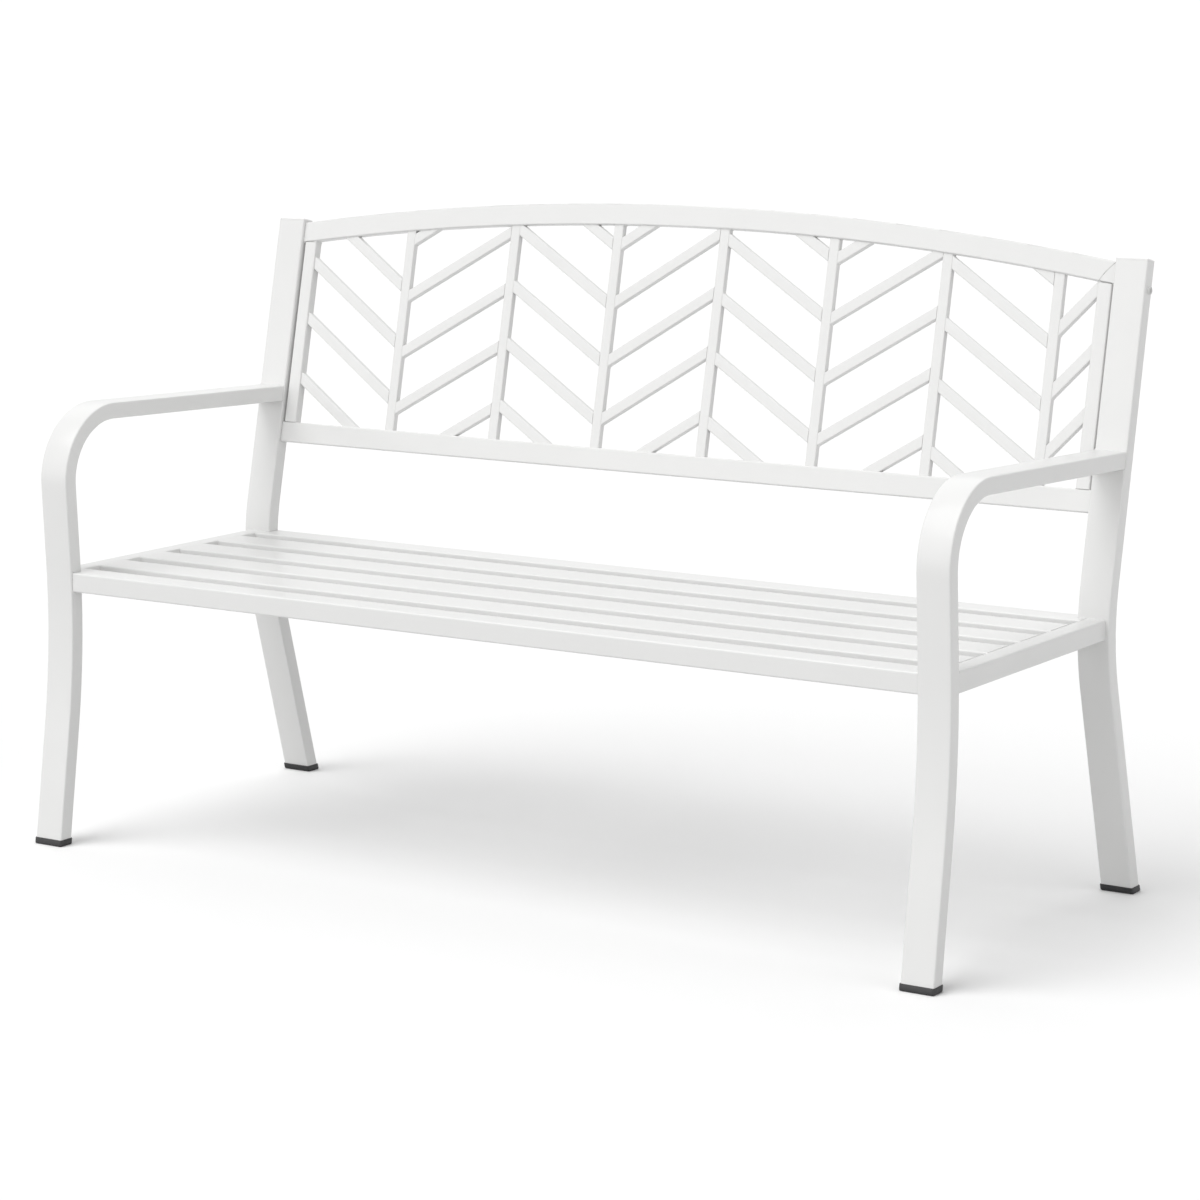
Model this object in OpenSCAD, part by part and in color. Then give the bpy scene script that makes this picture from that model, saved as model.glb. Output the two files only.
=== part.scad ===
// Steel garden bench: two bent end frames, a slatted seat and an arched back panel.
// Millimetres. X runs along the seat, Y to the back, Z up. The origin is on the floor,
// under the middle of the bench.

/* [Bench] */
// Length over the end frames
bench_length = 1400; // [1100:10:1800]
// Height of the seat's top
seat_height = 380; // [350:5:450]
// Height of the armrest's top at its front bend
arm_height = 607; // [560:1:680]
// Height of the arched back at its middle
back_height = 880; // [840:5:960]
// Distance between the front leg and the back post on the floor
stance = 569; // [520:1:650]

/* [End frame tube] */
// Width of the end frame's tube, along the seat
tube_width = 45; // [40:1:55]
// Depth of the end frame's tube
tube_depth = 22.5; // [16:0.5:26]
// Wall of the end frame's tube
tube_wall = 1.5; // [1:0.1:1.9]

/* [Front leg and armrest] */
// Lean of the front leg's foot, in degrees
leg_splay = 8; // [4:0.5:11]
// Height where the front leg's slow curve starts
leg_straight = 165; // [120:5:200]
// Radius of the front leg's slow curve
knee_radius = 1150; // [900:10:1300]
// Forward lean of the leg above the seat, in degrees
leg_lean = 3.4; // [1:0.1:5]
// Radius of the bend from leg to armrest
arm_bend = 92; // [70:1:110]
// Fall of the armrest towards the back, in degrees
arm_drop = 2; // [0:0.5:5]

/* [Back post] */
// Lean of the back post's foot, in degrees
post_splay = 15.9; // [12:0.1:18]
// Height where the back post's curve starts
post_straight = 285; // [260:1:300]
// Radius of the back post's curve
hip_radius = 290; // [240:5:330]
// Lean of the back, in degrees
recline = 12; // [8:0.5:16]
// Drop from the arch's top to the back post's top, at its front
post_drop = 42; // [20:1:60]
// Thickness of the lid on the post's top
lid_thickness = 2.5; // [1.5:0.5:4]
// Depth of the plug under the lid
plug_depth = 12; // [6:1:20]

/* [Feet] */
// Height of the foot cap
cap_height = 9; // [7:0.5:14]
// Wall of the foot cap around the tube
cap_wall = 1.5; // [1:0.1:2.5]
// Thickness of the foot cap under the tube
cap_floor = 3; // [2:0.5:5]

/* [Seat frame] */
// Height of the seat's rails
rail_height = 27; // [22:1:35]
// Width of the side rails
side_rail_width = 27; // [20:1:32]
// Distance of the side rails from the end frame's outer face
side_rail_inset = 6; // [3:1:10]
// Depth of the front and rear rails
long_rail_depth = 40; // [30:1:50]
// Distance of the front rail behind the leg's front face
front_rail_setback = 2.7; // [0:0.1:6]
// Wall of the rails
rail_wall = 1.5; // [1:0.1:1.9]
// Outer radius of the rails' long edges
rail_corner = 2.5; // [2:0.5:4]

/* [Slats] */
// Width of a slat
slat_width = 56; // [45:1:64]
// Thickness of a slat
slat_thickness = 20; // [14:1:25]
// Wall of a slat
slat_wall = 1.2; // [0.8:0.1:1.8]
// Outer radius of a slat's long edges
slat_corner = 2.5; // [2:0.5:4]
// Width of the strap under the middle of the slats
brace_width = 30; // [20:1:50]
// Thickness of the strap under the slats
brace_thickness = 5; // [3:0.5:7]

/* [Back panel] */
// Distance of the panel behind the post's front face
panel_setback = 5; // [2:0.5:8]
// Depth of the panel's rails, stiles and bars
panel_depth = 15; // [12:0.5:18]
// Height of the panel's top and bottom rails
panel_rail = 30; // [22:1:36]
// Height of the bottom rail's lower edge
panel_bottom = 512; // [490:1:540]
// Fall of the arch from its middle to the posts
arch_rise = 49.6; // [35:0.2:60]
// Width of the panel's stiles
stile_width = 20; // [15:1:26]
// Gap between a stile and its post
stile_gap = 3.5; // [1:0.5:6]
// Wall of the panel's tubes
panel_wall = 1.2; // [0.8:0.1:1.8]
// Outer radius of the panel tubes' long edges
panel_corner = 2; // [1.9:0.1:3]

/* [Bars and chevrons] */
// Width of the small tube that the bars and the chevrons are cut from
bar_width = 15; // [12:0.5:20]
// Depth of the small tube
bar_depth = 10; // [8:0.5:12]
// Outer radius of the small tube's long edges
bar_corner = 1.5; // [1.3:0.1:2]
// Clear width of the first bay, at the left
first_bay = 161; // [140:1:175]
// Clear width of the narrow last bay, at the right
last_bay = 49; // [35:1:70]
// Distance of the bars between the outer two to the right of even steps
middle_bar_shift = 8; // [0:1:12]
// Height of the first chevron's low point above the bottom rail
chevron_start = 46; // [35:1:70]
// Distance from chevron to chevron, along the back
chevron_pitch = 82.5; // [70:0.5:100]
// How much under an even step the cut chevrons over the bottom rail sit
corner_drop = 7; // [0:0.5:12]
// Slope of the chevrons, in degrees
chevron_angle = 32; // [25:0.5:35]

/* [Bolts] */
// Diameter of a panel bolt
bolt_diameter = 6; // [5:0.5:7]
// Diameter of a bolt's head
bolt_head = 10; // [9:0.5:12]
// Height of a bolt's head
bolt_head_height = 3; // [2:0.5:4]
// Distance of the bolts under the top rail
bolt_drop = 8; // [6:0.5:20]
// Clearance of a bolt in the post, all round
bolt_clearance = 0.3; // [0.2:0.1:0.6]
// Length of a bolt past the stile's outer face
bolt_reach = 10; // [6:0.5:14]

/* [Hidden] */
$fn = 48;
white = [0.93, 0.93, 0.92];
black = [0.07, 0.07, 0.07];
slats = 4;
bars = 7;
// How much steeper each bay's chevrons are, in degrees, and how far over even steps they sit
bay_turn = [2, -1, -0.5, 1, -0.5, 0, 1, 16];
bay_lift = [10, -4.5, 3.5, 4.5, 2.5, -0.5, -14, 7];
// Least height of a chevron's low end under the arch
least_end = 10;

// End frames: heights and places of the tubes' middle lines
half_length = bench_length / 2;
post_inner = half_length - tube_width;
tube_x = half_length - tube_width / 2;
foot_front = (tube_depth / 2 + cap_wall) / cos(leg_splay);
foot_back = (tube_depth / 2 + cap_wall) / cos(post_splay);

// Depth of the whole bench, from the front foot cap to the rear one or the arch's back
curve_z = post_straight + hip_radius * sin(post_splay);
curve_back = hip_radius * cos(post_splay) - post_straight * tan(post_splay)
    - (hip_radius + tube_depth / 2) * cos(recline);
back_z = curve_z + (hip_radius + tube_depth / 2) * sin(recline);
panel_back = panel_setback + panel_depth;
panel_top = panel_corner + (back_height - panel_corner - back_z
    + (panel_setback + panel_corner) * sin(recline)) / cos(recline);
arch_back = curve_back + (panel_top - panel_corner) * sin(recline)
    + (panel_back - panel_corner) * cos(recline) + panel_corner;
bench_depth = foot_front + stance + max(foot_back, arch_back);
leg_y = foot_front - bench_depth / 2;
post_y = leg_y + stance;

// The front leg's slow curve, its centre and its end
knee_y = leg_y + leg_straight * tan(leg_splay) - knee_radius * cos(leg_splay);
knee_z = leg_straight + knee_radius * sin(leg_splay);
knee_end = knee_z + knee_radius * sin(leg_lean);

// The centre of the bend from leg to armrest
bend_z = arm_height - tube_depth / 2 - arm_bend;
bend_y = knee_y + (knee_radius + arm_bend) * cos(leg_lean)
    - (bend_z - arm_bend * sin(leg_lean) - knee_end) * tan(leg_lean);

// The back post's curve, its centre and where its straight back starts
hip_y = post_y - post_straight * tan(post_splay) + hip_radius * cos(post_splay);
back_y = post_y + curve_back;
post_length = (back_height - post_drop - back_z) / cos(recline) - lid_thickness;

// Seat: the rails' places
seat_middle = seat_height - rail_height / 2;
rail_outer = half_length - side_rail_inset;
rail_inner = rail_outer - side_rail_width;
front_rail_y = leg_line(seat_middle) - tube_depth / 2 + front_rail_setback;
rear_rail_y = post_line(seat_middle) + tube_depth / 2 - long_rail_depth;
slat_room = rear_rail_y - front_rail_y - long_rail_depth;
slat_gap = (slat_room - slats * slat_width) / (slats + 1);

// Back panel: heights along the leaning back, from the end of the post's curve
panel_low = (panel_bottom - back_z + panel_setback * sin(recline)) / cos(recline);
panel_floor = panel_low + panel_rail;
arch_radius = (pow(post_inner, 2) + pow(arch_rise, 2)) / (2 * arch_rise);
arch_under = arch_radius - panel_rail;
arch_z = panel_top - arch_radius;
stile_outer = post_inner - stile_gap;
stile_inner = stile_outer - stile_width;
bolt_z = arch_z + sqrt(pow(arch_under, 2) - pow(stile_inner, 2)) - bolt_drop;
bolt_depth = panel_setback + panel_depth / 2;
first_bar_x = first_bay + bar_width / 2 - stile_inner;
bar_pitch = (stile_inner - last_bay - bar_width / 2 - first_bar_x) / (bars - 1);

// Height-to-depth of the tubes' middle lines, for what is fitted to them
function leg_line(z) = z < leg_straight ? leg_y + z * tan(leg_splay)
    : knee_y + sqrt(pow(knee_radius, 2) - pow(z - knee_z, 2));
function post_line(z) = z < post_straight ? post_y - z * tan(post_splay)
    : hip_y - sqrt(pow(hip_radius, 2) - pow(z - curve_z, 2));
function bar_x(i) = first_bar_x + (i - 1) * bar_pitch
    + (i == 1 || i == bars ? 0 : middle_bar_shift);
function bay_angle(i) = chevron_angle + bay_turn[i - 1];
function bay_left(i) = i == 1 ? -stile_inner : bar_x(i - 1) + bar_width / 2;
function bay_right(i) = i > bars ? stile_inner : bar_x(i) - bar_width / 2;

// A rectangle with rounded corners, about the origin
module rounded(width, depth, radius) {
    square([width, depth - 2 * radius], center = true);
    square([width - 2 * radius, depth], center = true);
    for (x = [-1, 1], y = [-1, 1])
        translate([x * (width / 2 - radius), y * (depth / 2 - radius)]) circle(r = radius);
}

// The section of a tube
module tube_section(width, depth, radius, wall) {
    difference() {
        rounded(width, depth, radius);
        rounded(width - 2 * wall, depth - 2 * wall, radius - wall / 2);
    }
}

// The points of a bend, from one angle to another. A radius under nought draws the arc
// on the far side of its centre.
function arc(y, z, radius, from, to, steps) =
    [for (i = [0:steps]) let (a = from + (to - from) * i / steps)
        [y + radius * cos(a), z - radius * sin(a)]];

// One side of the front leg and armrest, behind its middle line by d, from the floor to the
// post. Both ends run on by over.
function leg_side(d, over) = let (
        turned = arc(bend_y, bend_z, d - arm_bend, -leg_lean, 90 + arm_drop, 24),
        last = turned[24],
        gap = ((back_y - last[0]) * cos(recline) - (back_z - last[1]) * sin(recline))
            / cos(recline + arm_drop) + over)
    concat([[leg_y + (cap_floor - over) * tan(leg_splay) + d / cos(leg_splay), cap_floor - over]],
        arc(knee_y, knee_z, knee_radius + d, leg_splay, -leg_lean, 10),
        turned, [last + gap * [cos(arm_drop), -sin(arm_drop)]]);

// The same for the back post, up to its lid
function post_side(d, over) = let (
        turned = arc(hip_y, curve_z, d - hip_radius, -post_splay, recline, 14),
        rise = post_length + over)
    concat([[post_y - (cap_floor - over) * tan(post_splay) + d / cos(post_splay),
            cap_floor - over]],
        turned, [turned[14] + rise * [sin(recline), cos(recline)]]);

function reversed(list) = [for (i = [len(list) - 1:-1:0]) list[i]];

// A slab of an end frame, as wide as asked and drawn from above and from the side
module slab(width, front, rear) {
    rotate([90, 0, 90]) linear_extrude(height = width, center = true)
        polygon(concat(front, reversed(rear)));
}

module leg_slab(wall, over) {
    slab(tube_width - 2 * wall, leg_side(wall - tube_depth / 2, over),
        leg_side(tube_depth / 2 - wall, over));
}

module post_slab(wall, over) {
    slab(tube_width - 2 * wall, post_side(wall - tube_depth / 2, over),
        post_side(tube_depth / 2 - wall, over));
}

// Puts its child on the leaning front face of the posts
module on_back() {
    translate([0, back_y, back_z]) rotate([-recline, 0, 0]) children();
}

module leg_armrest(side) {
    color(white) translate([side * tube_x, 0, 0]) difference() {
        leg_slab(0, 0);
        leg_slab(tube_wall, 1);
    }
}

module back_post(side) {
    color(white) difference() {
        translate([side * tube_x, 0, 0]) difference() {
            post_slab(0, 0);
            post_slab(tube_wall, 1);
        }
        bolt_hole(side);
    }
}

// The clearance hole through both walls of the post
module bolt_hole(side) {
    on_back() translate([side * tube_x, bolt_depth, bolt_z]) rotate([0, 90, 0])
        cylinder(d = bolt_diameter + 2 * bolt_clearance, h = tube_width + 2, center = true);
}

// A cap over the foot of a tube: its outside is the tube's, grown by the cap's wall
module foot_cap(side, y, lean) {
    color(black) translate([side * tube_x, 0, 0]) difference() {
        foot_block(y, lean, cap_wall, 0, cap_height);
        foot_block(y, lean, 0, cap_floor, cap_height + 1);
    }
}

module foot_block(y, lean, wall, low, high) {
    half = (tube_depth / 2 + wall) / cos(lean);
    rotate([90, 0, 90]) linear_extrude(height = tube_width + 2 * wall, center = true)
        polygon([for (p = [[-half, low], [half, low], [half, high], [-half, high]])
            [y + p[0] + p[1] * tan(lean), p[1]]]);
}

module post_lid(side) {
    color(white) on_back() translate([side * tube_x, tube_depth / 2, post_length]) {
        linear_extrude(height = lid_thickness) square([tube_width, tube_depth], center = true);
        translate([0, 0, -plug_depth]) linear_extrude(height = plug_depth)
            square([tube_width - 2 * tube_wall, tube_depth - 2 * tube_wall], center = true);
    }
}

// The room that the end frames' tubes take, for the rails that are cut to them
module end_tubes(side) {
    translate([side * tube_x, 0, 0]) {
        leg_slab(0, 0);
        post_slab(0, 0);
    }
}

module side_rail(side) {
    color(white) difference() {
        translate([side * (rail_outer - side_rail_width / 2), leg_line(seat_middle), seat_middle])
            rotate([-90, 0, 0])
            linear_extrude(height = post_line(seat_middle) - leg_line(seat_middle))
            tube_section(side_rail_width, rail_height, rail_corner, rail_wall);
        end_tubes(side);
    }
}

// A rail along the seat, cut round the end frames' tubes
module long_rail(y) {
    color(white) difference() {
        translate([0, y + long_rail_depth / 2, seat_middle]) rotate([90, 0, 90])
            linear_extrude(height = 2 * rail_inner, center = true)
            tube_section(long_rail_depth, rail_height, rail_corner, rail_wall);
        end_tubes(-1);
        end_tubes(1);
    }
}

module seat_slat(i) {
    y = front_rail_y + long_rail_depth + i * slat_gap + (i - 1) * slat_width;
    color(white) translate([0, y + slat_width / 2, seat_height - slat_thickness / 2])
        rotate([90, 0, 90]) linear_extrude(height = 2 * rail_inner, center = true)
        tube_section(slat_width, slat_thickness, slat_corner, slat_wall);
}

module centre_strap() {
    color(white) translate([-brace_width / 2, front_rail_y + long_rail_depth,
        seat_height - slat_thickness - brace_thickness])
        cube([brace_width, slat_room, brace_thickness]);
}

// The arched rail, cut upright at the posts
module top_rail() {
    sweep_angle = asin(post_inner / arch_under) + 1;
    color(white) on_back() intersection() {
        translate([0, bolt_depth, arch_z]) rotate([90, 0, 0]) rotate(90 - sweep_angle)
            rotate_extrude(angle = 2 * sweep_angle, $fn = 720)
            translate([arch_radius - panel_rail / 2, 0])
            tube_section(panel_rail, panel_depth, panel_corner, panel_wall);
        translate([-post_inner, 0, 0]) cube([2 * post_inner, 2 * panel_back, 2 * back_height]);
    }
}

module bottom_rail() {
    color(white) on_back() translate([0, bolt_depth, panel_low + panel_rail / 2])
        rotate([90, 0, 90]) linear_extrude(height = 2 * post_inner, center = true)
        tube_section(panel_depth, panel_rail, panel_corner, panel_wall);
}

// The room under the arch, for the uprights that are cut to it
module under_arch() {
    translate([0, 0, arch_z]) rotate([-90, 0, 0])
        cylinder(r = arch_under, h = 2 * panel_back, $fn = 720);
}

// An upright tube between the rails, about x
module upright(x) {
    intersection() {
        translate([x, bolt_depth, panel_floor]) linear_extrude(height = panel_top - panel_floor)
            children();
        under_arch();
    }
}

module back_stile(side) {
    color(white) on_back() difference() {
        upright(side * (stile_outer - stile_width / 2))
            tube_section(stile_width, panel_depth, panel_corner, panel_wall);
        translate([side * (stile_outer - panel_wall), bolt_depth, bolt_z]) rotate([0, 90, 0])
            cylinder(d = bolt_diameter, h = 2 * stile_gap, center = true);
    }
}

module back_bar(i) {
    color(white) on_back() upright(bar_x(i))
        tube_section(bar_width, bar_depth, bar_corner, panel_wall);
}

// The chevron tubes of one bay: they fall towards the odd bars, and the rails cut the end ones
// short. A small corner piece under the arch is left out, and so is the narrow last bay's over
// the bottom rail.
module chevron_bay(i) {
    left = bay_left(i);
    width = bay_right(i) - left;
    even = i % 2 == 0;
    slope = (even ? -1 : 1) * bay_angle(i);
    lowest = panel_floor + chevron_start + bay_lift[i - 1] - bar_width / cos(bay_angle(i));
    middle = lowest + (width * tan(bay_angle(i)) + bar_width / cos(bay_angle(i))) / 2;
    arch = arch_z + sqrt(pow(arch_under, 2) - pow(even ? left : left + width, 2));
    last = floor((arch - least_end - lowest) / chevron_pitch);
    color(white) on_back() intersection() {
        for (k = [(i > bars ? 0 : -1):last])
            translate([left + width / 2, bolt_depth,
                    middle + k * chevron_pitch - (k < 0 ? corner_drop : 0)])
                rotate([0, slope, 0]) rotate([90, 0, 90])
                linear_extrude(height = width / cos(slope) + 2 * bar_width, center = true)
                tube_section(bar_depth, bar_width, bar_corner, panel_wall);
        translate([left, 0, panel_floor]) cube([width, 2 * panel_back, panel_top - panel_floor]);
        under_arch();
    }
}

module panel_bolts() {
    color(white) on_back() for (side = [-1, 1]) {
        translate([side * half_length, bolt_depth, bolt_z]) rotate([0, side * 90, 0]) {
            cylinder(d = bolt_head, h = bolt_head_height);
            translate([0, 0, stile_outer - half_length - bolt_reach])
                cylinder(d = bolt_diameter, h = half_length - stile_outer + bolt_reach);
        }
    }
}

leg_armrest(-1);  // left_leg_armrest
leg_armrest(1);  // right_leg_armrest
back_post(-1);  // left_back_post
back_post(1);  // right_back_post
foot_cap(-1, leg_y, leg_splay);  // front_left_foot_cap
foot_cap(1, leg_y, leg_splay);  // front_right_foot_cap
foot_cap(-1, post_y, -post_splay);  // rear_left_foot_cap
foot_cap(1, post_y, -post_splay);  // rear_right_foot_cap
post_lid(-1);  // left_post_lid
post_lid(1);  // right_post_lid
side_rail(-1);  // left_side_rail
side_rail(1);  // right_side_rail
long_rail(front_rail_y);  // front_seat_rail
long_rail(rear_rail_y);  // rear_seat_rail
centre_strap();  // seat_centre_strap
for (i = [1:slats]) seat_slat(i);
top_rail();  // back_top_rail
bottom_rail();  // back_bottom_rail
back_stile(-1);  // left_back_stile
back_stile(1);  // right_back_stile
for (i = [1:bars]) back_bar(i);
for (i = [1:bars + 1]) chevron_bay(i);
panel_bolts();
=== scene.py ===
# Garden bench: white powder-coated steel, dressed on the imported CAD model.
# Metres. X runs along the seat, Y to the back, Z up.
import math

import bmesh
import bpy
from mathutils import Matrix, Vector, noise


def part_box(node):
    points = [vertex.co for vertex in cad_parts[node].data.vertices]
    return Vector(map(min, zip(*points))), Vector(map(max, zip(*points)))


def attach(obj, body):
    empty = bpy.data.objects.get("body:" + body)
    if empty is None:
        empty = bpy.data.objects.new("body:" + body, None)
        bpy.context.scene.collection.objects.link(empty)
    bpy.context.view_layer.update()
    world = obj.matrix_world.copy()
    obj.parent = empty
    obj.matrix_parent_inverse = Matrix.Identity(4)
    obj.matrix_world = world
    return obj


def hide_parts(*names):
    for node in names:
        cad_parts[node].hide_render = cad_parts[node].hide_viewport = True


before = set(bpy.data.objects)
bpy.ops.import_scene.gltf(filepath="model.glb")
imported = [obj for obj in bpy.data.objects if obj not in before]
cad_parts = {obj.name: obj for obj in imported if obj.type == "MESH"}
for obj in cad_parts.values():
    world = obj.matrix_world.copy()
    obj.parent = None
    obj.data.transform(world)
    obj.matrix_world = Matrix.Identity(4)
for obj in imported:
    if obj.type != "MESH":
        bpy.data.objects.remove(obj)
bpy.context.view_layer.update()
scene = bpy.context.scene
print("frame loaded:", len(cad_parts), "nodes")


# One output socket of a material's nodes, so that values can be written as sums
class Wire:
    def __init__(self, finish, socket):
        self.finish = finish
        self.socket = socket

    def combine(self, operation, first, second):
        return self.finish.node("ShaderNodeMath", {"operation": operation}, {0: first, 1: second})

    def __add__(self, other):
        return self.combine("ADD", self, other)

    def __radd__(self, other):
        return self.combine("ADD", other, self)

    def __sub__(self, other):
        return self.combine("SUBTRACT", self, other)

    def __rsub__(self, other):
        return self.combine("SUBTRACT", other, self)

    def __mul__(self, other):
        return self.combine("MULTIPLY", self, other)

    def __rmul__(self, other):
        return self.combine("MULTIPLY", other, self)


# A material and the nodes behind its shader
class Finish:
    def __init__(self, name, tree=None):
        if tree is None:
            self.material = bpy.data.materials.new(name)
            self.material.use_nodes = True
            tree = self.material.node_tree
        self.tree = tree
        self.shader = tree.nodes.get("Principled BSDF")

    def plug(self, socket, value):
        if isinstance(value, Wire):
            self.tree.links.new(value.socket, socket)
        else:
            socket.default_value = value

    # Adds a node: its settings come first, then the values or wires of its sockets
    def node(self, kind, settings=None, sockets=None, output=0):
        made = self.tree.nodes.new(kind)
        for name, value in (settings or {}).items():
            setattr(made, name, value)
        for name, value in (sockets or {}).items():
            self.plug(made.inputs[name], value)
        return Wire(self, made.outputs[output])

    def set(self, **values):
        for name, value in values.items():
            self.plug(self.shader.inputs[name.replace("_", " ")], value)

    def place(self):
        return self.node("ShaderNodeTexCoord", output="Object")

    def grain(self, scale, detail=2.0, roughness=0.5):
        return self.node("ShaderNodeTexNoise", {"noise_dimensions": "3D"},
                         {"Vector": self.place(), "Scale": scale, "Detail": detail, "Roughness": roughness})

    # Eases a value between two limits into 0 to 1
    def span(self, value, low, high):
        return self.node("ShaderNodeMapRange", {"interpolation_type": "SMOOTHSTEP"},
                         {"Value": value, "From Min": low, "From Max": high})

    def blend(self, factor, first, second):
        return self.node("ShaderNodeMix", {"data_type": "RGBA"},
                         {0: factor, 6: first, 7: second}, output=2)

    # 1 where the camera, a reflection or a ray through glass looks, 0 for the light on things
    def seenWhite(self):
        rays = [self.node("ShaderNodeLightPath", output=name)
                for name in ("Is Camera Ray", "Is Glossy Ray", "Is Transmission Ray")]
        return self.node("ShaderNodeMath", {"operation": "MAXIMUM"}, {0: rays[0], 1: rays[1] + rays[2]})

    def bump(self, height, strength, distance):
        return self.node("ShaderNodeBump", {}, {"Height": height, "Strength": strength, "Distance": distance})


# White coat of the steel, on fine orange peel
powderCoat = {
    "white": (0.765, 0.765, 0.758, 1),
    "thin": (0.735, 0.735, 0.725, 1),
    "gloss": 0.35,
    "dull": 0.42,
    "peel": 620,  # cells of the orange peel in a metre
    "peelDepth": 0.00004,
    "peelStrength": 0.16,
    "cloud": 9,  # slow change of the coat's thickness
    "cloudShare": 0.3,
    "speck": 160,  # small thin spots
    "speckShare": 0.15,
    "shine": 0.4,
    "clearCoat": 0.2,
    "clearDull": 0.12,
}


def makePowderCoat(name, tint=1.0):
    coat = Finish(name)
    cloud = coat.span(coat.grain(powderCoat["cloud"], 3.0), 0.35, 0.75)
    speck = coat.span(coat.grain(powderCoat["speck"], 4.0, 0.7), 0.62, 0.80)
    peel = coat.grain(powderCoat["peel"], 1.5)
    ripple = coat.grain(powderCoat["peel"] / 4.5, 1.0)
    white = [c * tint for c in powderCoat["white"][:3]] + [1]
    thin = [c * tint for c in powderCoat["thin"][:3]] + [1]
    worn = cloud * powderCoat["cloudShare"] + speck * powderCoat["speckShare"]
    dulling = powderCoat["dull"] - powderCoat["gloss"]
    coat.set(
        Base_Color=coat.blend(worn, white, thin),
        Roughness=powderCoat["gloss"] + cloud * dulling + speck * 0.05,
        Normal=coat.bump(peel + ripple * 0.5, powderCoat["peelStrength"], powderCoat["peelDepth"]),
        Specular_IOR_Level=powderCoat["shine"],
        Coat_Roughness=powderCoat["clearDull"],
        Coat_Weight=powderCoat["clearCoat"],
    )
    return coat.material


capRubber = {
    "black": (0.016, 0.016, 0.017, 1),
    "scuffed": (0.052, 0.051, 0.050, 1),
    "grain": 2400,
    "grainDepth": 0.00005,
}


def makeCapRubber():
    rubber = Finish("foot_plastic_black")
    scuff = rubber.span(rubber.grain(210, 5.0, 0.65), 0.52, 0.74)
    leather = rubber.node("ShaderNodeTexVoronoi", {"feature": "F1"},
                          {"Vector": rubber.place(), "Scale": capRubber["grain"]})
    rubber.set(
        Base_Color=rubber.blend(scuff * 0.6, capRubber["black"], capRubber["scuffed"]),
        Roughness=0.52 + scuff * 0.2,
        Normal=rubber.bump(leather, 0.5, capRubber["grainDepth"]),
    )
    return rubber.material


lidPlastic = {
    "white": (0.85, 0.85, 0.843, 1),
    "yellowed": (0.82, 0.815, 0.79, 1),
}


def makeLidPlastic():
    lid = Finish("lid_plastic_white")
    mottle = lid.span(lid.grain(45, 3.0), 0.4, 0.7)
    lid.set(
        Base_Color=lid.blend(mottle * 0.5, lidPlastic["white"], lidPlastic["yellowed"]),
        Roughness=0.30 + mottle * 0.10,
        Normal=lid.bump(lid.grain(1500, 1.0), 0.2, 0.00004),
    )
    return lid.material


# Painted shade for the joints: a dark grey stands in for the shadow down in the crevice between two parts,
# paler in random patches
seam = {
    "shade": (0.42, 0.42, 0.41, 1),
    "paleShade": (0.62, 0.62, 0.61, 1),
}


def makeSeamShade():
    line = Finish("painted_shade_in_seam")
    paleShade = line.span(line.grain(130, 3.0), 0.45, 0.62)
    line.set(
        Base_Color=line.blend(paleShade, seam["shade"], seam["paleShade"]),
        Roughness=0.6 + paleShade * 0.1,
        Normal=line.bump(line.grain(900, 1.0), 0.2, 0.00004),
    )
    return line.material


# Material for the lines of painted shade along the joints
seamShade = makeSeamShade()
whiteCoat = makePowderCoat("white_powder_coat")
weldCoat = makePowderCoat("white_coat_over_weld", 0.97)
boltCoat = makePowderCoat("white_coat_on_bolt", 0.98)
blackCap = makeCapRubber()
whiteLid = makeLidPlastic()
print("finishes made")


# Direction in the side view at an angle from upright, towards the back
def turned(angle):
    return Vector((0, math.sin(math.radians(angle)), math.cos(math.radians(angle))))


def roundedSection(width, depth, radius, steps=5):
    points = []
    for turn, (sx, sy) in enumerate([(1, 1), (-1, 1), (-1, -1), (1, -1)]):
        for k in range(steps + 1):
            a = math.radians(90 * (turn + k / steps))
            points.append((sx * (width / 2 - radius) + radius * math.cos(a),
                           sy * (depth / 2 - radius) + radius * math.sin(a)))
    return points


# Joins a row of rings with faces, and closes both ends
def skin(bm, rings, closed=False):
    rows = [[bm.verts.new(p) for p in ring] for ring in rings]
    pairs = list(zip(rows, rows[1:]))
    if closed:
        pairs.append((rows[-1], rows[0]))
    for low, high in pairs:
        for i in range(len(low)):
            j = (i + 1) % len(low)
            bm.faces.new((low[i], low[j], high[j], high[i]))
    if not closed:
        bm.faces.new(list(reversed(rows[0])))
        bm.faces.new(rows[-1])


# Walls of a hollow tube: outer and inner rings, joined at both ends
def skinHollow(bm, outer, inner):
    skin(bm, outer + list(reversed(inner)), closed=True)


def makePiece(name, bm, material, nodes=(), smoothAngle=35):
    bmesh.ops.recalc_face_normals(bm, faces=bm.faces)
    mesh = bpy.data.meshes.new(name)
    bm.to_mesh(mesh)
    bm.free()
    mesh.materials.append(material)
    piece = bpy.data.objects.new(name, mesh)
    scene.collection.objects.link(piece)
    mesh.shade_smooth()
    mesh.set_sharp_from_angle(angle=math.radians(smoothAngle))
    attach(piece, "root")
    if nodes:
        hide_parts(*nodes)
    return piece


# The end frames' tubes, in the same sizes as the CAD source
tube = {
    "width": 0.045,
    "depth": 0.0225,
    "wall": 0.0015,
    "corner": 0.0022,
}
leg = {
    "splay": 8,
    "straight": 0.165,
    "kneeRadius": 1.150,
    "lean": -3.4,
    "bendRadius": 0.092,
    "armHeading": 92,
}
post = {
    "splay": -15.9,
    "straight": 0.285,
    "hipRadius": 0.290,
    "recline": 12,
}
foot = {
    "wall": 0.0015,
    "floor": 0.003,
    "height": 0.009,
    "corner": 0.0036,
    "edge": 0.0022,  # round of the lower edge
    "lip": 0.0007,
}

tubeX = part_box("right_leg_armrest")[1].x - tube["width"] / 2
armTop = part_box("right_leg_armrest")[1].z


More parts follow.
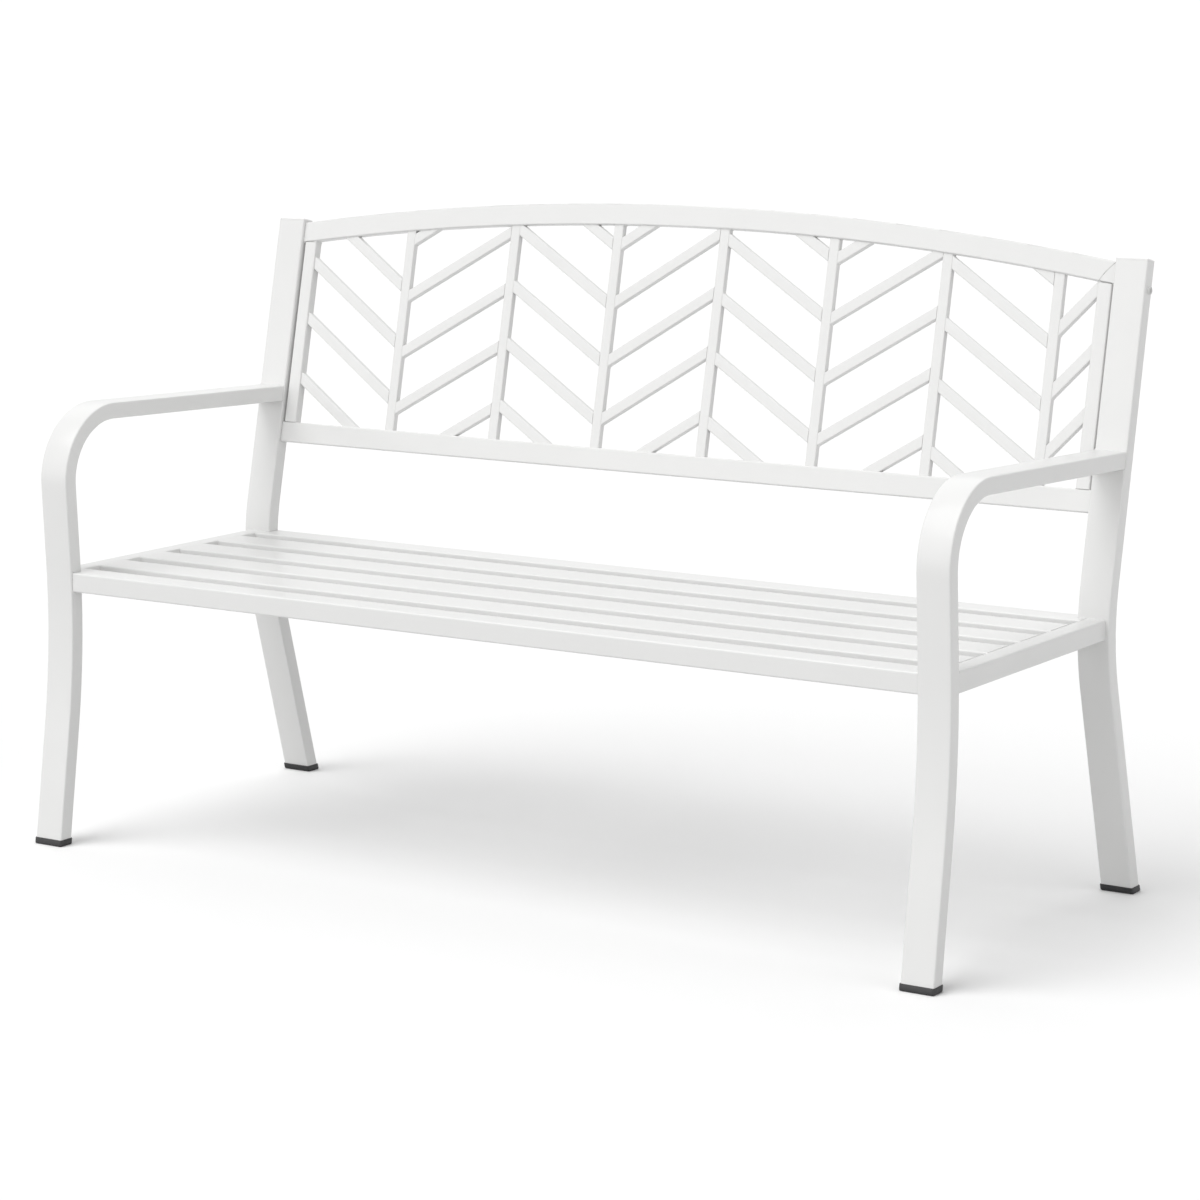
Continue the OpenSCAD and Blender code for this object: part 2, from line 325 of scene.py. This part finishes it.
# A tube's middle line in the side view, as places and headings
class Bend:
    def __init__(self, start, heading):
        self.stations = [(Vector(start), heading)]

    def straight(self, length, steps=1):
        place, heading = self.stations[-1]
        for k in range(1, steps + 1):
            self.stations.append((place + turned(heading) * length * k / steps, heading))
        return self

    def turn(self, radius, heading, steps):
        place, before = self.stations[-1]
        side = 1 if heading > before else -1
        centre = place + turned(before + 90) * radius * side
        for k in range(1, steps + 1):
            now = before + (heading - before) * k / steps
            self.stations.append((centre - turned(now + 90) * radius * side, now))
        return self


def ringAt(x, station, section):
    place, heading = station
    across = turned(heading + 90)
    return [Vector((x + a, 0, 0)) + place + across * b for a, b in section]


# Slides the points of a ring along its heading to a plane
def slideTo(ring, heading, onPlane, normal):
    way = turned(heading)
    return [p + way * ((onPlane - p).dot(normal) / way.dot(normal)) for p in ring]


def footPlace(node, lean, front):
    low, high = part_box(node)
    half = (tube["depth"] / 2 + foot["wall"]) / math.cos(math.radians(lean))
    y = low.y + half if front else high.y - half
    return Vector((0, y + foot["floor"] * math.tan(math.radians(lean)), foot["floor"]))


legFoot = footPlace("front_right_foot_cap", leg["splay"], True)
postFoot = footPlace("rear_right_foot_cap", post["splay"], False)

postLine = Bend(postFoot, post["splay"])
postLine.straight((post["straight"] - foot["floor"]) / math.cos(math.radians(post["splay"])), 3)
postLine.turn(post["hipRadius"], post["recline"], 14)

# The leaning front face of the posts: a point on it, the way up it and the way into it
backStart = postLine.stations[-1][0] - turned(post["recline"] + 90) * tube["depth"] / 2
upBack = turned(post["recline"])
intoBack = turned(post["recline"] + 90)


def onBack(x, into, up):
    return Vector((x, 0, 0)) + backStart + intoBack * into + upBack * up


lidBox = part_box("right_post_lid")
postLength = (lidBox[1].z - backStart.z) / math.cos(math.radians(post["recline"]))
lid = {
    "thickness": 0.0025,
    "round": 0.0009,
    "plug": 0.012,
}
postLine.straight(postLength - lid["thickness"], 4)

kneeEnd = leg["straight"] + leg["kneeRadius"] * (
    math.sin(math.radians(leg["splay"])) - math.sin(math.radians(leg["lean"])))
bendStart = (armTop - tube["depth"] / 2 - leg["bendRadius"]
             + leg["bendRadius"] * math.sin(math.radians(leg["lean"])))
legLine = Bend(legFoot, leg["splay"])
legLine.straight((leg["straight"] - foot["floor"]) / math.cos(math.radians(leg["splay"])), 2)
legLine.turn(leg["kneeRadius"], leg["lean"], 12)
legLine.straight((bendStart - kneeEnd) / math.cos(math.radians(leg["lean"])))
legLine.turn(leg["bendRadius"], leg["armHeading"], 28)
legLine.straight(0.02)


def tubeRings(x, line, inset, feet, meet=None):
    section = roundedSection(tube["width"] - 2 * inset, tube["depth"] - 2 * inset,
                             max(tube["corner"] - inset, 0.0008))
    rings = [ringAt(x, station, section) for station in line.stations]
    rings[0] = slideTo(rings[0], line.stations[0][1], feet, Vector((0, 0, 1)))
    if meet:
        rings[-1] = slideTo(rings[-1], line.stations[-1][1], *meet)
    return rings


def makeEndTubes():
    for side, name in ((-1, "left"), (1, "right")):
        x = side * tubeX
        bm = bmesh.new()
        meet = (backStart, intoBack)
        skinHollow(bm, tubeRings(x, legLine, 0, legFoot, meet),
                   tubeRings(x, legLine, tube["wall"], legFoot, meet))
        makePiece(name + "_leg_and_arm_tube", bm, whiteCoat, [name + "_leg_armrest"])
        bm = bmesh.new()
        skinHollow(bm, tubeRings(x, postLine, 0, postFoot), tubeRings(x, postLine, tube["wall"], postFoot))
        makePiece(name + "_post_tube", bm, whiteCoat, [name + "_back_post"])


makeEndTubes()
print("end frames made")


# Part of a quarter round, as shares of its radius gone sideways and up
def quarter(steps):
    turns = [math.radians(90 * k / steps) for k in range(steps + 1)]
    return [(1 - math.sin(turn), 1 - math.cos(turn)) for turn in turns]


def makeFootCap(node, lean, start):
    low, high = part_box(node)
    slope = math.tan(math.radians(lean))
    stretch = 1 / math.cos(math.radians(lean))
    width = tube["width"] + 2 * foot["wall"]
    depth = tube["depth"] + 2 * foot["wall"]
    profile = [(foot["edge"] * a, foot["edge"] * b) for a, b in quarter(5)]
    profile += [(0, foot["height"] - foot["lip"]), (foot["lip"], foot["height"]),
                (foot["wall"], foot["height"]), (foot["wall"], foot["floor"])]
    rings = []
    for inset, z in profile:
        middle = Vector(((low.x + high.x) / 2, start.y + (z - start.z) * slope, z))
        section = roundedSection(width - 2 * inset, (depth - 2 * inset) * stretch,
                                 max(foot["corner"] - inset, 0.001))
        rings.append([middle + Vector((a, b, 0)) for a, b in section])
    bm = bmesh.new()
    skin(bm, rings)
    makePiece(node + "_rubber", bm, blackCap, [node], 50)


def makeLid(side, name):
    under = postLength - lid["thickness"]
    profile = [(tube["wall"] * 1.4, under - lid["plug"]), (tube["wall"], under - lid["plug"] * 0.85),
               (tube["wall"], under), (0.0004, under), (0, under + 0.0004)]
    profile += [(lid["round"] * b, postLength - lid["round"] * a) for a, b in quarter(5)]
    rings = []
    for inset, up in profile:
        section = roundedSection(tube["width"] - 2 * inset, tube["depth"] - 2 * inset,
                                 tube["corner"] - inset)
        rings.append([onBack(side * tubeX + a, tube["depth"] / 2 + b, up) for a, b in section])
    bm = bmesh.new()
    skin(bm, rings)
    makePiece(name + "_post_lid_moulded", bm, whiteLid, [name + "_post_lid"], 45)


bolt = {
    "head": 0.005,
    "height": 0.003,
    "shank": 0.003,
    "length": 0.0585,
    "socket": 0.0021,
    "socketDepth": 0.0016,
    "sides": 36,
}


def makeBolts():
    low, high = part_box("panel_bolts")
    middle = (low + high) / 2
    seat = high.x - bolt["height"]
    dome = [(bolt["head"] * (1 - 0.45 * a), bolt["height"] * (0.2 + 0.8 * b))
            for b, a in quarter(6)]
    profile = [(bolt["shank"] * 0.8, -bolt["length"]), (bolt["shank"], 0.0006 - bolt["length"]),
               (bolt["shank"], 0), (bolt["head"], 0)] + dome
    profile += [(bolt["socket"], bolt["height"]),
                (bolt["socket"] * 0.95, bolt["height"] - bolt["socketDepth"])]
    bm = bmesh.new()
    for side in (-1, 1):
        rings = []
        for radius, out in profile:
            ring = []
            for k in range(bolt["sides"]):
                turn = 2 * math.pi * k / bolt["sides"]
                reach = radius
                if radius <= bolt["socket"]:  # six flats for the key
                    reach /= math.cos((turn + math.pi / 6) % (math.pi / 3) - math.pi / 6)
                ring.append(Vector((side * (seat + out), middle.y, middle.z))
                            + (intoBack * math.cos(turn) + upBack * math.sin(turn)) * reach)
            rings.append(ring)
        skin(bm, rings)
    makePiece("panel_bolts_turned", bm, boltCoat, ["panel_bolts"], 40)


for side, name in ((-1, "left"), (1, "right")):
    makeFootCap("front_" + name + "_foot_cap", leg["splay"], legFoot)
    makeFootCap("rear_" + name + "_foot_cap", post["splay"], postFoot)
    makeLid(side, name)
makeBolts()
print("caps, lids and bolts made")


weld = {
    "arm": 0.0015,  # radii of the beads, down to that of the seams' lines of painted shade
    "rail": 0.0012,
    "panel": 0.0009,
    "chevron": 0.0007,
    "seam": 0.00035,
    "short": 0.002,  # how far a bead stops before a tube's rounded edge
    "slatEnd": 0.006,
    "step": 0.0015,
    "ripple": 0.0034,
    "least": 0.003,  # a shorter bead is left out
    "sides": 6,
}
panel = {
    "setback": 0.005,
    "depth": 0.015,
    "rail": 0.030,
    "corner": 0.002,
    "bottom": 0.512,
    "rise": 0.0496,
    "bar": 0.015,
    "barDepth": 0.010,
    "mitreBow": 0.0022,
}
chevron = {
    "start": 0.046,
    "pitch": 0.0825,
    "angle": 32,
    "cornerDrop": 0.007,
    "turn": [2, -1, -0.5, 1, -0.5, 0, 1, 16],
    "lift": [0.010, -0.0045, 0.0035, 0.0045, 0.0025, -0.0005, -0.014, 0.007],
}

leanCos = math.cos(math.radians(post["recline"]))
leanSin = math.sin(math.radians(post["recline"]))
postInner = tubeX - tube["width"] / 2
panelFloor = (panel["bottom"] - backStart.z + panel["setback"] * leanSin) / leanCos + panel["rail"]
panelTop = panel["corner"] + (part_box("back_top_rail")[1].z - panel["corner"] - backStart.z
                              + (panel["setback"] + panel["corner"]) * leanSin) / leanCos
archRadius = (postInner ** 2 + panel["rise"] ** 2) / (2 * panel["rise"])
panelBack = panel["setback"] + panel["depth"]
barBack = (panel["setback"] + panelBack + panel["barDepth"]) / 2
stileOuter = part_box("right_back_stile")[1].x
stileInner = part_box("right_back_stile")[0].x


# Heights of the arched rail's two edges up the back, at a distance from the middle
def archTop(x):
    return panelTop - archRadius + math.sqrt(archRadius ** 2 - x ** 2)


def archUnder(x):
    return panelTop - archRadius + math.sqrt((archRadius - panel["rail"]) ** 2 - x ** 2)


# Spots along a path at even steps
def spread(path, closed):
    corners = list(path) + (path[:1] if closed else [])
    spots = []
    for a, b in zip(corners, corners[1:]):
        count = max(1, round((b - a).length / weld["step"]))
        spots += [a.lerp(b, k / count) for k in range(count)]
    return spots if closed else spots + [corners[-1]]


# Lays a bead along a path. A weld swells and shrinks in ripples, a seam's line of painted shade doesn't.
def layBead(bm, path, radius, closed=False, rippled=True):
    spots = spread(path, closed)
    last = len(spots) - 1
    rings = []
    guide = None
    for k, spot in enumerate(spots):
        before = spots[k - 1] if k or closed else spot
        after = spots[(k + 1) % len(spots)] if k < last or closed else spot
        way = (after - before).normalized()
        guide = way.orthogonal() if guide is None else guide - way * guide.dot(way)
        guide.normalize()
        across = way.cross(guide)
        swell = 1.0
        if rippled:
            swell = 0.80 + 0.26 * abs(math.sin(math.pi * k * weld["step"] / weld["ripple"]))
            swell += 0.22 * noise.noise(spot * 260)
        if not closed and k in (0, last):
            swell *= 0.4
        turns = [2 * math.pi * n / weld["sides"] for n in range(weld["sides"])]
        rings.append([spot + (guide * math.cos(a) + across * math.sin(a)) * radius * swell
                      for a in turns])
    skin(bm, rings, closed)


# Where a bent tube's face is at a height: its place to the back
def faceAt(line, z, side):
    for (a, before), (b, after) in zip(line.stations, line.stations[1:]):
        if a.z <= z <= b.z:
            part = (z - a.z) / (b.z - a.z)
            heading = math.radians(before + (after - before) * part)
            return a.y + (b.y - a.y) * part + side * tube["depth"] / 2 / math.cos(heading)
    return line.stations[-1][0].y


def weldArms():
    bm = bmesh.new()
    for side in (-1, 1):
        rings = tubeRings(side * tubeX, legLine, 0, legFoot, (backStart, intoBack))
        layBead(bm, rings[-1], weld["arm"], closed=True)
    makePiece("armrest_welds", bm, weldCoat, smoothAngle=60)


def weldSeat(bm, seams):
    short = weld["short"]
    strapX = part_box("seat_centre_strap")[1].x
    low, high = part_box("right_side_rail")
    railX = (low.x + high.x) / 2
    middle = (low.z + high.z) / 2
    section = roundedSection(high.x - low.x, high.z - low.z, 0.0025, 3)
    for side in (-1, 1):
        for line, face in ((legLine, 1), (postLine, -1)):
            loop = [Vector((side * railX + a, faceAt(line, middle + b, face), middle + b))
                    for a, b in section]
            layBead(bm, loop, weld["rail"], closed=True)
        # The long rails: a line of painted shade along the seam in front and on top, a bead below and behind
        x = side * postInner
        for node, line, face in (("front_seat_rail", legLine, 1), ("rear_seat_rail", postLine, -1)):
            start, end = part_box(node)
            outer, inner = (start.y, end.y) if face > 0 else (end.y, start.y)
            notch = faceAt(line, end.z, face)
            under = faceAt(line, start.z, face)
            top = [Vector((x, outer, start.z + short)), Vector((x, outer, end.z - short)),
                   Vector((x, outer + short * face, end.z)), Vector((x, notch, end.z))]
            below = [Vector((x, outer + short * face, start.z)), Vector((x, under, start.z))]
            layBead(seams, top, weld["seam"], rippled=False)
            layBead(bm, below, weld["rail"])
            corner = Vector((side * low.x, 0, start.z))
            layBead(bm, [corner + Vector((0, under + short / 2 * face, 0)),
                         corner + Vector((0, inner - short * face, 0))], weld["rail"])
    for k in range(1, 5):
        start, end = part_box("seat_slat_%d" % k)
        for x in (start.x, end.x, -strapX, strapX):
            layBead(bm, [Vector((x, start.y + weld["slatEnd"], start.z)),
                         Vector((x, end.y - weld["slatEnd"], start.z))], weld["rail"])


def weldPanel(bm, seams):
    front = panel["setback"]
    for side in (-1, 1):
        x = side * postInner
        stileX = side * (stileInner + stileOuter) / 2
        half = (stileOuter - stileInner) / 2
        ends = [(panelFloor - panel["rail"], panelFloor), (archUnder(x), archTop(x))]
        for low, high in ends:
            inside = front + weld["short"]
            layBead(bm, [onBack(x, inside, low), onBack(x, panelBack, low),
                         onBack(x, panelBack, high), onBack(x, inside, high)], weld["panel"])
            # A line of painted shade down the front where each rail end meets the post
            layBead(seams, [onBack(x, front, low + weld["short"] / 2),
                            onBack(x, front, high - weld["short"] / 2)], weld["seam"], rippled=False)
        for up in (panelFloor, archUnder(stileX)):
            layBead(bm, [onBack(stileX - half, panelBack, up), onBack(stileX + half, panelBack, up)],
                    weld["panel"])
            # A line of painted shade across the front where the stile meets the rail
            layBead(seams, [onBack(stileX - half, front, up), onBack(stileX + half, front, up)],
                    weld["seam"], rippled=False)
    # The mitre at the right corner of the arch, a little bowed, drawn as a line of painted shade
    bottom = onBack(stileInner, front, archUnder(stileInner))
    top = onBack(postInner, front, archTop(postInner))
    bow = onBack((stileInner + postInner) / 2 - panel["mitreBow"], front,
                 (archUnder(stileInner) + archTop(postInner)) / 2 + panel["mitreBow"])
    curve = [bottom.lerp(bow, t).lerp(bow.lerp(top, t), t) for t in (0, 0.25, 0.5, 0.75, 1)]
    layBead(seams, curve, weld["seam"] * 1.3, rippled=False)


def weldBars(bm):
    half = panel["bar"] / 2
    barSide = barBack - panel["barDepth"] + weld["short"]
    bars = []
    for k in range(1, 8):
        low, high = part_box("back_bar_%d" % k)
        x = (low.x + high.x) / 2
        bars.append(x)
        for up in (panelFloor, archUnder(x)):
            layBead(bm, [onBack(x - half, barSide, up), onBack(x - half, barBack, up),
                         onBack(x + half, barBack, up), onBack(x + half, barSide, up)],
                    weld["chevron"])
    lefts = [-stileInner] + [x + half for x in bars]
    rights = [x - half for x in bars] + [stileInner]
    for bay, (left, right) in enumerate(zip(lefts, rights)):
        slope = math.tan(math.radians(chevron["angle"] + chevron["turn"][bay]))
        width = (right - left) * slope
        thick = panel["bar"] * math.sqrt(1 + slope ** 2)
        base = panelFloor + chevron["start"] + chevron["lift"][bay]
        # The outer bays lie under the arch's low ends, and the last has no piece at its foot
        first = 0 if bay == 7 else -1
        last = 2 if bay in (0, 7) else 3
        for k in range(first, last + 1):
            for x, falls in ((left, bay % 2 == 1), (right, bay % 2 == 0)):
                high = base + k * chevron["pitch"] + (0 if falls else width)
                high -= chevron["cornerDrop"] if k < 0 else 0
                low = max(high - thick, panelFloor)
                high = min(high, archUnder(x))
                if high - low > weld["least"]:
                    layBead(bm, [onBack(x, barBack, low), onBack(x, barBack, high)], weld["chevron"])


def makeWelds():
    weldArms()
    seams = bmesh.new()
    seat = bmesh.new()
    weldSeat(seat, seams)
    makePiece("seat_welds", seat, weldCoat, smoothAngle=60)
    back = bmesh.new()
    weldPanel(back, seams)
    weldBars(back)
    makePiece("back_panel_welds", back, weldCoat, smoothAngle=60)
    # The seam lines are painted shade: dark grey strips standing in for the shadow in the joints
    makePiece("joint_painted_shade_lines", seams, seamShade, smoothAngle=60)


makeWelds()
print("welds and seams made")


# The rest of the frame keeps the solids of the CAD source
for name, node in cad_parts.items():
    for slotOfNode in node.material_slots:
        slotOfNode.material = blackCap if "foot_cap" in name else whiteLid if "lid" in name else whiteCoat

room = {
    "floorRadius": 150.0,
    "floorWhite": (0.98, 0.98, 0.98, 1),
    "floorBounce": (0.67, 0.67, 0.67, 1),
    "skyStrength": 0.33,
    "lamps": [
        # name, direction to the lamp (sideways, back, up), spread in degrees, strength
        ("key", (-0.26, -0.42, 0.80), 45, 1.52),
        ("front", (-0.35, -0.90, 0.20), 60, 0.98),
        ("high", (-0.30, 0.50, 0.80), 60, 0.62),
        ("side", (0.85, -0.20, 0.22), 60, 0.92),
    ],
}


def makeRoom():
    bm = bmesh.new()
    bmesh.ops.create_circle(bm, cap_ends=True, segments=96, radius=room["floorRadius"])
    mesh = bpy.data.meshes.new("floor")
    bm.to_mesh(mesh)
    bm.free()
    floor = bpy.data.objects.new("floor", mesh)
    scene.collection.objects.link(floor)
    paint = Finish("floor_white")
    paint.set(Base_Color=paint.blend(paint.seenWhite(), room["floorBounce"], room["floorWhite"]),
              Roughness=0.9, Specular_IOR_Level=0.0)
    mesh.materials.append(paint.material)
    world = bpy.data.worlds.new("studio")
    world.use_nodes = True
    scene.world = world
    sky = Finish("studio", world.node_tree)
    strength = room["skyStrength"] + sky.seenWhite() * (1 - room["skyStrength"])
    background = world.node_tree.nodes["Background"]
    background.inputs["Color"].default_value = (1, 1, 1, 1)
    sky.plug(background.inputs["Strength"], strength)
    for name, towards, spread, strength in room["lamps"]:
        data = bpy.data.lights.new(name, "SUN")
        data.angle = math.radians(spread)
        data.energy = strength
        lamp = bpy.data.objects.new(name, data)
        lamp.location = towards
        lamp.rotation_euler = Vector(towards).to_track_quat("Z", "Y").to_euler()
        scene.collection.objects.link(lamp)


makeRoom()
print("room made")

view = {
    "place": (2.5975, -4.0062, 1.202),
    "yaw": 32.555,
    "pitch": -8.399,
    "roll": 0.088,
    "lens": 108.28,
    "shiftY": -0.0803,
}


def makeCamera():
    data = bpy.data.cameras.new("camera")
    data.sensor_width = 36
    data.lens = view["lens"]
    data.shift_y = view["shiftY"]
    camera = bpy.data.objects.new("camera", data)
    turn = (Matrix.Rotation(math.radians(view["yaw"]), 4, "Z")
            @ Matrix.Rotation(math.radians(90 + view["pitch"]), 4, "X")
            @ Matrix.Rotation(math.radians(view["roll"]), 4, "Z"))
    camera.matrix_world = Matrix.Translation(view["place"]) @ turn
    scene.collection.objects.link(camera)
    scene.camera = camera


makeCamera()
scene.view_settings.view_transform = "Standard"

print("bench finished")
